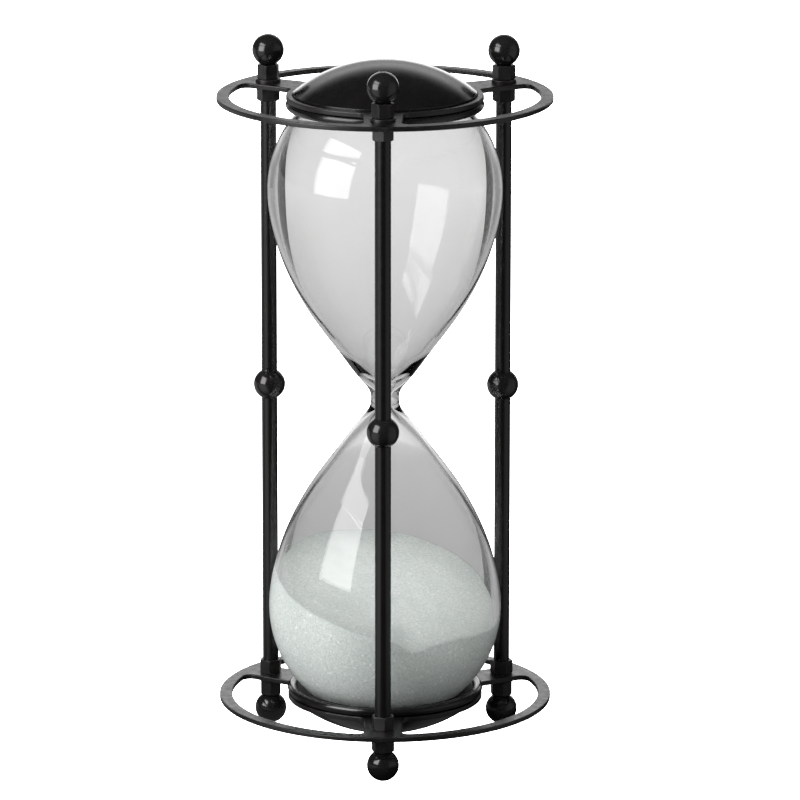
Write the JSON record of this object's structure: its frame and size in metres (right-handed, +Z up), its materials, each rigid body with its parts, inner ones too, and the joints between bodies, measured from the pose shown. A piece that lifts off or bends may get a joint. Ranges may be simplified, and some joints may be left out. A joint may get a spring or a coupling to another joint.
{
  "type": "hourglass",
  "caption": "Tall blown-glass hourglass with pale sand, held between two black ring plates by slim round posts with ball ends and a small ball at mid height.",
  "frame": {"origin": "on the ground, on the axis of the glass, in the plane that the three lower balls stand on", "axes": "+Z up along the axis of the glass; +X to the right and +Y to the back, with one post at the front on -Y"},
  "size_m": [0.167, 0.167, 0.357],
  "materials": {
    "stand_paint": "satin black paint over flat steel",
    "cap_paint": "semi-gloss black paint over spun steel",
    "hardware_paint": "satin black paint over zinc-plated hardware",
    "ball_paint": "semi-gloss black paint over solid steel balls",
    "rod_paint": "satin black paint over steel rod",
    "seat_rubber": "matte black rubber",
    "clear_glass": "clear blown glass, very slightly green at the rims",
    "fine_sand": "fine pale grey-green sand with small bright grains"
  },
  "bodies": {
    "root": {"top_ring_plate": "stand_paint", "top_end_cup": "cap_paint", "top_seat_ring": "seat_rubber", "top_front_inner_nut": "hardware_paint", "top_front_washer": "hardware_paint", "top_front_outer_nut": "hardware_paint", "top_front_ball": "ball_paint", "top_right_inner_nut": "hardware_paint", "top_right_washer": "hardware_paint", "top_right_outer_nut": "hardware_paint", "top_right_ball": "ball_paint", "top_left_inner_nut": "hardware_paint", "top_left_washer": "hardware_paint", "top_left_outer_nut": "hardware_paint", "top_left_ball": "ball_paint", "bottom_ring_plate": "stand_paint", "bottom_end_cup": "cap_paint", "bottom_seat_ring": "seat_rubber", "bottom_front_inner_nut": "hardware_paint", "bottom_front_washer": "hardware_paint", "bottom_front_outer_nut": "hardware_paint", "bottom_front_ball": "ball_paint", "bottom_right_inner_nut": "hardware_paint", "bottom_right_washer": "hardware_paint", "bottom_right_outer_nut": "hardware_paint", "bottom_right_ball": "ball_paint", "bottom_left_inner_nut": "hardware_paint", "bottom_left_washer": "hardware_paint", "bottom_left_outer_nut": "hardware_paint", "bottom_left_ball": "ball_paint", "front_rod": "rod_paint", "front_rod_ball": "ball_paint", "right_rod": "rod_paint", "right_rod_ball": "ball_paint", "left_rod": "rod_paint", "left_rod_ball": "ball_paint", "glass_bulbs": "clear_glass", "sand": "fine_sand", "filling_plug": "seat_rubber"}
  },
  "joints": []
}
